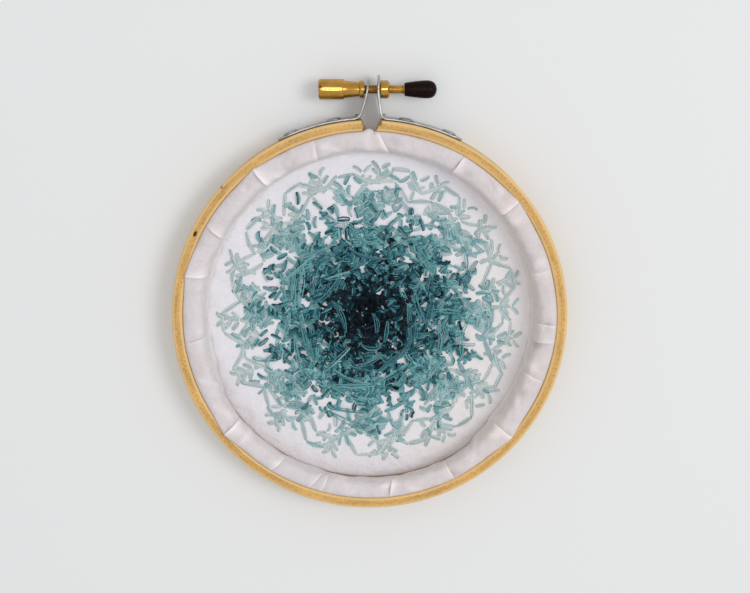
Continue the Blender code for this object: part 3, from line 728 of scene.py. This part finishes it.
between = spokes(8, 22.5)
design = {
    "navy": [placed(petal(8.5, 2.4, 13), 2.5, spokes(8)), placed(leaf(5.0, 1.3, 7), 8.0, between),
             seeds(0.2, 7.5, 1.6, 2.0, 0.9)],
    "deep_teal": [placed(leaf(8.5, 2.3, 11), 9.5, between),
                  placed(petal(8.0, 2.7, 12), 11.0, spokes(8)),
                  placed(leaf(6.0, 1.5, 6), 17.0, between, (26, -26)),
                  seeds(7.0, 19.0, 2.1, 2.5, 0.8)],
    "teal": [placed(leaf(9.0, 2.3, 11), 19.0, spokes(8)),
             placed(leaf(8.5, 2.0, 10), 18.0, spokes(8), (36, -36)),
             placed(petal(5.2, 1.9, 8), 22.0, between), placed(star(0.6, 2.2, 7), 30.3, between),
             seeds(14.0, 29.0, 2.7, 2.9, 0.7)],
    "light_teal": [placed(leaf(8.0, 2.1, 9), 27.0, spokes(8), (27, -27)),
                   placed(leaf(6.0, 1.6, 6), 29.5, spokes(8)),
                   placed(sprig(7.5, 3.0, 3), 30.0, spokes(16, 11.25)),
                   seeds(25.0, 35.0, 4.4, 3.3, 0.6)],
    "sage": [scallop(37.0, 5.6, 17, 3, 4.0), scallop(33.6, 5.2, 13, 3, 15.0),
             placed(sprig(6.0, 3.2, 2), 34.5, spokes(16, 3.0)),
             placed(sprig(4.4, 3.0, 2), 37.4, spokes(15, 14.0)),
             placed(leaf(4.5, 1.6, 3), 32.0, spokes(16, 14.0))],
}
design = {name: np.concatenate(parts) for name, parts in design.items()}


def untidy(stitches, skein):
    """The stitches as they fall on the back: repeated, moved, turned and drawn longer or shorter
    by chance, and kept between two lengths."""
    again = chance.integers(0, len(stitches), int(len(stitches) * (skein.times - 1)))
    every = np.concatenate([stitches, stitches[again]])
    run = every[:, 1] - every[:, 0]
    size = np.linalg.norm(run, axis=-1) * chance.uniform(*skein.grow, len(every))
    angle = np.arctan2(run[:, 1], run[:, 0]) + chance.normal(0, skein.turn, len(every))
    half = np.clip(size, *skein.lengths)[:, None] / 2 * pairs(np.cos(angle), np.sin(angle))
    middle = every.mean(axis=1) + chance.normal(0, skein.shift, (len(every), 2))
    return np.stack([middle - half, middle + half], axis=1)


def strand_tubes(ends, shares, width, lifts, count, bow):
    """Tubes along straight stitches. ends are (n, 2, xy), shares the places along a stitch with
    their spread and lift; count strands lie side by side and meet at the holes.

    Point = start + share * (end - start) + side * (strand place * spread + bow * 4s(1-s))
    + up * lift, plus a four-sided section round it.
    """
    share, spread, height_share = shares
    n = len(ends)
    run = ends[:, 1] - ends[:, 0]
    length = np.linalg.norm(run, axis=-1)
    along = run / length[:, None]
    across = np.stack([-along[:, 1], along[:, 0]], axis=-1)
    number = np.arange(count) - (count - 1) / 2
    place = number[None] * STRAND_GAP * width + chance.normal(0, 0.05, (n, count))
    sag = bow[:, None] + chance.normal(0, 0.09, (n, count))
    sideways = place[..., None] * spread + sag[..., None] * 4 * share * (1 - share)
    centre = (ends[:, None, None, 0] + share[:, None] * run[:, None, None]
              + sideways[..., None] * across[:, None, None])
    wobble = abs(chance.normal(0, 0.05, (n, count, 1)))
    rise = np.where(height_share > 0, height_share * (lifts[:, None, None] + wobble),
                    height_share * 0.16)
    turns = np.radians(np.array((45, 135, 225, 315))) + chance.uniform(0, 1.5, (n, count, 1))
    ring_side = STRAND_W * width * np.cos(turns)
    ring_up = STRAND_H * width * np.sin(turns)
    xy = centre[..., None, :] + ring_side[:, :, None, :, None] * across[:, None, None, None]
    z = rise[..., None] + ring_up[:, :, None]
    points = np.concatenate([xy, z[..., None]], axis=-1)
    uv_u = share[None, None, :, None] * length[:, None, None, None] + 0 * z
    uv_u = np.concatenate([uv_u, uv_u[..., :1]], axis=-1)
    uv_v = np.arange(5) / 4 + 0 * uv_u
    shape = (n * count, len(share))
    return points.reshape(*shape, 4, 3), np.stack([uv_u, uv_v], axis=-1).reshape(*shape, 5, 2)


def thread(name, colour, darkest, palest):
    """Stranded cotton: each strand is a little lighter or darker, with painted shade where it dives
    into the cloth, and its plies as fine slanting lines on the tube's own map."""
    made, tree = new_material(name)
    uv = node(tree, "UVMap", uv_map="surface")
    place = node(tree, "Mapping", {"Vector": uv, "Scale": (1.4, 1.0, 1)})
    plies = node(tree, "TexWave", {"Vector": place, "Scale": 0.55, "Distortion": 1.2, "Detail": 1.5},
                 bands_direction="DIAGONAL")
    tone = maths(tree, "ADD", maths(tree, "MULTIPLY", plies, 0.16),
                 node(tree, "Attribute", out="Fac", attribute_name="shade"))
    tone = maths(tree, "ADD", tone, maths(tree, "MULTIPLY", noise(tree, uv, 9.0, 2.0), 0.12))
    dark = tuple(c * darkest * cool for c, cool in zip(colour, (0.45, 0.80, 1.10)))
    grey = sum(colour) / 3
    light = tuple(min((c + 0.26 * (grey - c)) * palest + 0.008, 1) for c in colour)
    surface(tree, {"Base Color": ramp(tree, tone, ((0.10, dark), (0.60, colour), (1.0, light))),
                   "Roughness": 0.60, "Specular IOR Level": 0.12,
                   "Normal": embossed(tree, plies, 0.4, 0.06)})
    return made


def lay(name, tubes, uv, shade, finish):
    """One piece from tubes laid on the stretched face, with a brightness for every point."""
    r = np.hypot(tubes[..., 0], tubes[..., 1])
    on_face = tubes.copy()
    on_face[..., 2] += drum_height(r, np.arctan2(tubes[..., 1], tubes[..., 0])) - DRUM_Z
    on_face[..., 1] += CENTRE_Y
    piece = skin(name, on_face, uv=uv)
    values = piece.data.attributes.new("shade", "FLOAT", "POINT").data
    values.foreach_set("value", shade.astype(np.float32).ravel())
    piece.data.materials.append(finish)
    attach(piece, "hoop")


def shades(tubes, low, high, end_light_shade, core=0.0):
    """Brightness of every point: one value a tube, with painted shade where it enters the cloth,
    and darker by core at the middle of the design."""
    own = chance.uniform(low, high, (len(tubes), 1, 1))
    near = np.clip(1 - np.hypot(tubes[..., 0], tubes[..., 1]) / 7.5, 0, 1) * core
    return own + np.asarray(end_light_shade)[None, :, None] - near


names = list(SKEINS)
worked = {name: untidy(design[name], SKEINS[name]) for name in names}
lots = {name: chance.random(len(worked[name])) for name in names}      # decide on a stitch's colour
for number, name in enumerate(names):
    skein = SKEINS[name]
    finish = thread(name + "_thread", skein.colour, skein.darkest, skein.palest)
    lent = skein.lent * ((number > 0) + (number < len(names) - 1))
    own = [worked[name][lots[name] > lent]]
    if number > 0:
        before = names[number - 1]
        share = SKEINS[before].lent
        taken = share * (number > 1)
        own.append(worked[before][(lots[before] > taken) & (lots[before] <= taken + share)])
    if number < len(names) - 1:
        after = names[number + 1]
        own.append(worked[after][lots[after] <= SKEINS[after].lent])
    laid = np.concatenate(own)
    heights = 0.13 + skein.crowd * chance.random(len(laid)) ** 1.4
    bows = chance.normal(0, 0.24 + 0.10 * skein.crowd, len(laid))
    tubes, uv = strand_tubes(laid, STITCH, 1.0, heights, 3, bows)
    tubes[..., 2] += BACK_Z
    lay(name + "_back", tubes, uv, shades(tubes, skein.shade_from, 0.98, STITCH_END_SHADE, 0.45), finish)

    begin = design[name][chance.choice(len(design[name]), skein.floats), 0]
    round_it = np.arctan2(begin[:, 1], begin[:, 0]) + math.pi / 2 * chance.choice((-1, 1), len(begin))
    heading = round_it + chance.normal(0, 0.65, len(begin))
    reach = skein.reach * chance.uniform(0.5, 1.3, len(begin))
    arrive = begin + reach[:, None] * pairs(np.cos(heading), np.sin(heading))
    far = np.linalg.norm(arrive, axis=-1, keepdims=True)
    limit = np.linalg.norm(begin, axis=-1, keepdims=True) + 3
    arrive = arrive * np.minimum(1, limit / far)
    heights = 0.30 + 1.1 * skein.crowd * chance.uniform(0.6, 1.1, len(begin))
    bows = chance.normal(0, 1.0, len(begin))
    tubes, uv = strand_tubes(np.stack([begin, arrive], axis=1), FLOAT, 0.72, heights, 3, bows)
    tubes[..., 2] += BACK_Z
    lay(name + "_floats", tubes, uv, shades(tubes, 0.40, 0.92, FLOAT_LIGHT_SHADE), finish)

    size = np.linalg.norm(design[name][:, 1] - design[name][:, 0], axis=-1)
    neat = design[name][size > 0.8]
    heights = 0.13 + 0.10 * chance.random(len(neat))
    bows = chance.normal(0, 0.02, len(neat))
    tubes, uv = strand_tubes(neat, FRONT_STITCH, 2.1, heights, 1, bows)
    tubes[..., 2] = FRONT_Z - tubes[..., 2]
    lay(name + "_front", tubes, uv, shades(tubes, 0.45, 0.65, STITCH_END_SHADE), finish)


# Clamp strips: plated steel, bent to the ring and turned out into rounded ears, with a small rib
# pressed into each bend. Each ear has a hole for the screw.
STRIP_R = OUTER_R + 0.42                        # middle of the strip's thickness
STRIP_T = 0.60
STRIP_W = 6.6
STRIP_EDGE = 0.20
MID_Z = OUTER_DEPTH / 2
STRIP_END = 27.0
STRIP_BEND = 4.4
EARS = {                                        # middle line of each ear, x and distance out
    "left": ((-3.55, 56.02), (-3.05, 56.30), (-2.68, 56.75), (-2.45, 57.30), (-2.25, 57.90),
             (-1.85, 59.00), (-1.15, 61.30), (-0.65, 63.70), (-0.35, 66.40)),
    "right": ((3.95, 56.05), (3.45, 56.35), (3.12, 56.85), (2.98, 57.50), (2.85, 58.40),
              (2.60, 60.00), (2.38, 62.00), (2.33, 64.60), (2.45, 67.60)),
}
RIB_AT = 0.9                                    # middle of the rib, from the start of the bend
RIB_LONG, RIB_WIDE = 0.75, 0.85                 # its half-lengths along and across the strip
RIB_OUTER, RIB_INNER = 0.70, 0.30               # how far it lifts the two faces
SCREW_OUT = 63.7
SCREW_Y = SCREW_OUT + CENTRE_Y
EAR_HOLE_R = 1.5
STEEL = {"colour": (0.47, 0.48, 0.49), "tarnish": (0.72, 0.70, 0.66), "rough": (0.28, 0.42),
         "grain": 900.0}


def along_path(path, places):
    """Points at the given distances along a row of knots."""
    run = distances(path)
    return np.stack([np.interp(places, run, path[:, k]) for k in (0, 1)], axis=-1)


def metal(name, colour, tarnish, rough, grain, streak=(1, 1, 1)):
    """Bright metal: fine scratches drawn out by streak, patches of duller surface, and tarnish
    that settles in clouds."""
    made, tree = new_material(name)
    place = node(tree, "TexCoord", out="Object")
    drawn = node(tree, "Mapping", {"Vector": place, "Scale": streak})
    scratches = noise(tree, drawn, grain, 4.0, 0.65)
    dull = tuple(c * t for c, t in zip(colour, tarnish))
    clouds = ramp(tree, noise(tree, place, 420.0, 3.0), ((0.38, colour), (0.66, dull)))
    surface(tree, {"Base Color": clouds, "Metallic": 1.0,
                   "Roughness": span(tree, scratches, 0.3, 0.7, *rough),
                   "Normal": embossed(tree, scratches, 0.12, 0.01)})
    return made


def cut_away(piece, tool):
    """Cut a piece by a tool, put the result into the piece's mesh, and remove the tool."""
    cut = piece.modifiers.new("cut", "BOOLEAN")
    cut.operation = "DIFFERENCE"
    cut.solver = "EXACT"
    cut.object = tool
    graph = bpy.context.evaluated_depsgraph_get()
    result = bpy.data.meshes.new_from_object(piece.evaluated_get(graph))
    result.name = piece.data.name
    piece.modifiers.clear()
    piece.data = result
    bpy.data.objects.remove(tool, do_unlink=True)


def bored(piece, start, along, radius):
    """Drill a round hole through a piece, from a point along a vector."""
    angle = math.tau * np.arange(40) / 40
    axis = np.array(along) / np.linalg.norm(along)
    first = np.cross(axis, (0, 0, 1))
    first = first / np.linalg.norm(first)
    second = np.cross(axis, first)
    ring = start + radius * (np.cos(angle)[:, None] * first + np.sin(angle)[:, None] * second)
    cut_away(piece, skin("drill", np.stack([ring, ring + along])))


steel = metal("plated_steel", **STEEL)
corner_turns = np.radians(np.arange(0, 91, 30))
for hand, sign in (("left", -1), ("right", 1)):
    bow = np.radians(np.linspace(STRIP_END, STRIP_BEND, 60))
    arc = pairs(sign * STRIP_R * np.sin(bow), STRIP_R * np.cos(bow))
    path = corner_cut(corner_cut(np.concatenate([arc, np.array(EARS[hand])])))
    total = distances(path)[-1]
    round_end = STRIP_W / 2 * (1 - np.cos(np.radians(np.linspace(4, 84, 14))))
    middle_part = np.linspace(round_end[-1] + 0.2, total - round_end[-1] - 0.2, 150)
    places = np.concatenate([round_end, middle_part, total - round_end[::-1]])
    centre = along_path(path, places)
    ahead = np.gradient(centre, axis=0)
    ahead = ahead / np.linalg.norm(ahead, axis=-1, keepdims=True)
    outwards = pairs(-ahead[:, 1], ahead[:, 0]) * -sign
    from_end = np.minimum(np.minimum(places, total - places), STRIP_W / 2)
    half = np.sqrt((STRIP_W / 2) ** 2 - (STRIP_W / 2 - from_end) ** 2)
    flat_t = STRIP_T / 2 - STRIP_EDGE
    section = []
    for quarter, (a_sign, b_sign) in enumerate(((1, 1), (-1, 1), (-1, -1), (1, -1))):
        angle = corner_turns + quarter * math.pi / 2
        section.append(pairs(a_sign * flat_t + STRIP_EDGE * np.cos(angle),
                             STRIP_EDGE * np.sin(angle), b_sign))
        if quarter in (0, 2):
            section.append(pairs(0, [b_sign * STRIP_EDGE], b_sign))
        else:
            across = np.linspace(0.7, -0.7, 7) * b_sign
            section.append(pairs(a_sign * STRIP_T / 2, 0, across))
    section = np.concatenate(section)
    depth = np.maximum(half - STRIP_EDGE, 0.02)[:, None]
    off = section[None, :, 0] + 0 * depth
    up = section[None, :, 1] + section[None, :, 2] * depth
    from_rib = places[:, None] - (distances(arc)[-1] + RIB_AT)
    rib = np.exp(-(from_rib / RIB_LONG) ** 2) * np.exp(-(up / RIB_WIDE) ** 2)
    off = off + np.where(off > 0, RIB_OUTER, RIB_INNER) * rib
    xy = centre[:, None] + off[..., None] * outwards[:, None]
    strip_points = pairs(xy[..., 0], xy[..., 1] + CENTRE_Y, MID_Z + up)
    strip = skin(f"clamp_strip_{hand}", strip_points, sharp=60)
    bored(strip, (sign * 6.0, SCREW_Y, MID_Z), (-sign * 8.0, 0, 0), EAR_HOLE_R)
    strip.data.materials.append(steel)
    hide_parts(f"bracket_{hand}")
    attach(strip, "hoop")


# Rivets: plated, with low domed heads, two to a strip, driven through it into the wood.
RIVET_SEAT = STRIP_R + STRIP_T / 2
RIVET_R = 2.1
RIVET_H = 0.62
RIVET_DEGREES = {"near": 10.2, "far": 22.9}


def turned(name, profile, segments, origin, axis, upright, groove=None, sharp=40):
    """Turn a profile of (distance along the axis, radius) about it. groove(distance, angle) is
    taken off the radius. The end rings are closed by flat faces."""
    angle = math.tau * np.arange(segments) / segments
    other = np.cross(axis, upright)
    radius = profile[:, 1:2] + 0 * angle
    if groove is not None:
        radius = radius - groove(profile[:, 0:1], angle[None])
    points = (np.array(origin) + profile[:, None, 0:1] * np.array(axis)
              + (radius * np.cos(angle))[..., None] * upright
              + (radius * np.sin(angle))[..., None] * other)
    uv = pairs(distances(profile)[:, None], np.arange(segments + 1)[None] / segments)
    return skin(name, points, uv=uv, sharp=sharp)


dome = np.radians(np.linspace(0, 82, 10))
rivet_profile = np.concatenate([
    [(-0.15, 0.9), (-0.02, RIVET_R - 0.12), (0.08, RIVET_R)],
    np.stack([0.12 + (RIVET_H - 0.12) * np.sin(dome), RIVET_R * np.cos(dome) ** 0.75], axis=-1),
    [(RIVET_H, 0.28), (RIVET_H - 0.03, 0.12)]])
for hand, sign in (("left", -1), ("right", 1)):
    for place, degrees in RIVET_DEGREES.items():
        angle = math.radians(90 - sign * degrees)
        outward = (math.cos(angle), math.sin(angle), 0)
        seat = (RIVET_SEAT * outward[0], RIVET_SEAT * outward[1] + CENTRE_Y, MID_Z)
        rivet = turned(f"rivet_head_{hand}_{place}", rivet_profile, 40, seat, outward, (0, 0, 1))
        rivet.data.materials.append(steel)
        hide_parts(f"rivet_{hand}_{place}")
        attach(rivet, "hoop")


# Thumb screw: turned from brass, with a knurled head that has a screwdriver slot, a tapered
# neck, a flange against the left ear, and a fine thread.
SCREW_PITCH = 0.5
KNURLS = 46
KNURL_DEPTH = 0.022
KNURL_DEPTH = 0.022
HEAD_FROM, HEAD_TO = -14.1, -7.0
SHAFT_FROM, SHAFT_TO = -1.75, 12.8
SHAFT_R = 1.27
THREAD_DEPTH = 0.20
SLOT_W = 0.7
SLOT_DEPTH = 0.95
SLOT_TURN = math.radians(17.6)                  # the slot's lean from upright
BRASS = {"colour": (0.60, 0.345, 0.085), "tarnish": (0.84, 0.78, 0.62), "rough": (0.17, 0.25),
         "grain": 500.0, "streak": (6, 1, 1)}
HEAD_PROFILE = np.array((
    (HEAD_FROM, 1.2), (HEAD_FROM, 2.3), (-14.06, 2.48), (-13.95, 2.62), (-13.8, 2.72),
    (-13.6, 2.78), (-13.4, 2.80), (-12.0, 2.80), (-10.5, 2.80), (-9.0, 2.80),
    (-7.6, 2.80), (-7.35, 2.79), (-7.15, 2.72), (-7.02, 2.58), (HEAD_TO, 2.42),
    (-6.95, 2.40), (-5.0, 2.18), (-3.05, 1.97), (-2.95, 1.97), (-2.85, 2.12),
    (-2.76, 2.30), (-2.66, 2.37), (-1.80, 2.37), (-1.68, 2.33), (-1.62, 2.22), (-1.62, 1.25)))

screw_axis = {"origin": (0, SCREW_Y, MID_Z), "axis": (1, 0, 0), "upright": (0, 0, 1)}
shaft_profile = pairs(np.arange(SHAFT_FROM, SHAFT_TO, SCREW_PITCH / 8), SHAFT_R)


def window(x, start, stop, ease):
    """1 between two places, fading to 0 over a distance inside each."""
    return np.clip((x - start) / ease, 0, 1) * np.clip((stop - x) / ease, 0, 1)


def knurl(x, angle, start, stop, ease, count, depth):
    """V grooves along the axis, evenly round it: depth * (1 - |sin(count * angle / 2)|)."""
    return depth * (1 - abs(np.sin(count / 2 * angle))) * window(x, start, stop, ease)


def screw_cuts(x, angle):
    """What the tools took off the turned screw: the head's knurl, and the thread's groove, which
    advances one pitch a turn."""
    on_shaft = np.clip((x - SHAFT_FROM - 0.1) / 0.3, 0, 1)
    phase = (x / SCREW_PITCH - angle / math.tau) % 1
    return (knurl(x, angle, HEAD_FROM + 0.5, HEAD_TO - 0.35, 0.2, KNURLS, KNURL_DEPTH)
            + on_shaft * THREAD_DEPTH * (1 - abs(2 * phase - 1)))


screw = turned("thumb_screw_head", HEAD_PROFILE, 184, groove=screw_cuts, sharp=None, **screw_axis)
shaft = turned("thumb_screw_shaft", shaft_profile, 44, groove=screw_cuts, sharp=60, **screw_axis)
slot_long = np.array((0, math.sin(SLOT_TURN), math.cos(SLOT_TURN)))
slot_wide = np.array((0, math.cos(SLOT_TURN), -math.sin(SLOT_TURN)))
slot_from = np.array((HEAD_FROM - 1.0, SCREW_Y, MID_Z))
corners = np.array([slot_from + a * 4 * slot_long + b * SLOT_W / 2 * slot_wide
                    for a, b in ((-1, -1), (1, -1), (1, 1), (-1, 1))])
cut_away(screw, skin("slot_cutter", np.stack([corners, corners + (1.0 + SLOT_DEPTH, 0, 0)])))
screw.data.set_sharp_from_angle(angle=math.radians(35))
brass = metal("brass", **BRASS)
for turned_piece in (screw, shaft):
    turned_piece.data.materials.append(brass)
    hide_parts("screw")
    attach(turned_piece, "thumb_screw")


# Nut: a round brass nut that stays on the right ear, knurled next to the ear, with a chamfered
# collar on its outer side.
NUT_KNURLS = 40
NUT_KNURL_DEPTH = 0.045
NUT_PROFILE = np.array((
    (2.85, 1.3), (2.85, 2.2), (2.92, 2.36), (3.05, 2.43), (3.3, 2.45), (4.1, 2.45), (4.4, 2.45),
    (4.75, 2.45), (4.95, 2.40), (5.1, 2.25), (5.3, 1.95), (5.42, 1.75), (5.45, 1.5), (5.45, 1.3)))


def nut_cuts(x, angle):
    """Knurl on the part of the nut that is next to the ear."""
    return knurl(x, angle, 2.95, 4.9, 0.1, NUT_KNURLS, NUT_KNURL_DEPTH)


nut = turned("clamp_nut", NUT_PROFILE, 80, groove=nut_cuts, **screw_axis)
nut.data.materials.append(brass)
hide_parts("nut")
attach(nut, "hoop")


# Tip cap: a soft black-brown cap, moulded in a drop shape and pushed on the screw's tip.
CAP_KNOTS = np.array((
    (9.5, 1.30), (9.5, 1.70), (9.62, 1.80), (10.6, 1.98), (12.0, 2.15), (13.5, 2.33), (15.0, 2.46),
    (16.0, 2.48), (16.9, 2.33), (17.6, 1.95), (18.1, 1.35), (18.35, 0.65), (18.4, 0.1)))
RUBBER_STOPS = ((0.35, (0.006, 0.0012, 0.0006)), (0.7, (0.012, 0.0035, 0.002)))

cap_profile = corner_cut(corner_cut(CAP_KNOTS))
tip_cap = turned("soft_tip_cap", cap_profile, 64, sharp=60, **screw_axis)
rubber, rubber_tree = new_material("cap_rubber")
mottle = noise(rubber_tree, node(rubber_tree, "TexCoord", out="Object"), 900.0, 4.0)
surface(rubber_tree, {"Base Color": ramp(rubber_tree, mottle, RUBBER_STOPS),
                      "Roughness": span(rubber_tree, mottle, 0.3, 0.7, 0.34, 0.44),
                      "Specular IOR Level": 0.09,
                      "Normal": embossed(rubber_tree, mottle, 0.2, 0.05)})
tip_cap.data.materials.append(rubber)
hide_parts("tip_cap")
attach(tip_cap, "thumb_screw")
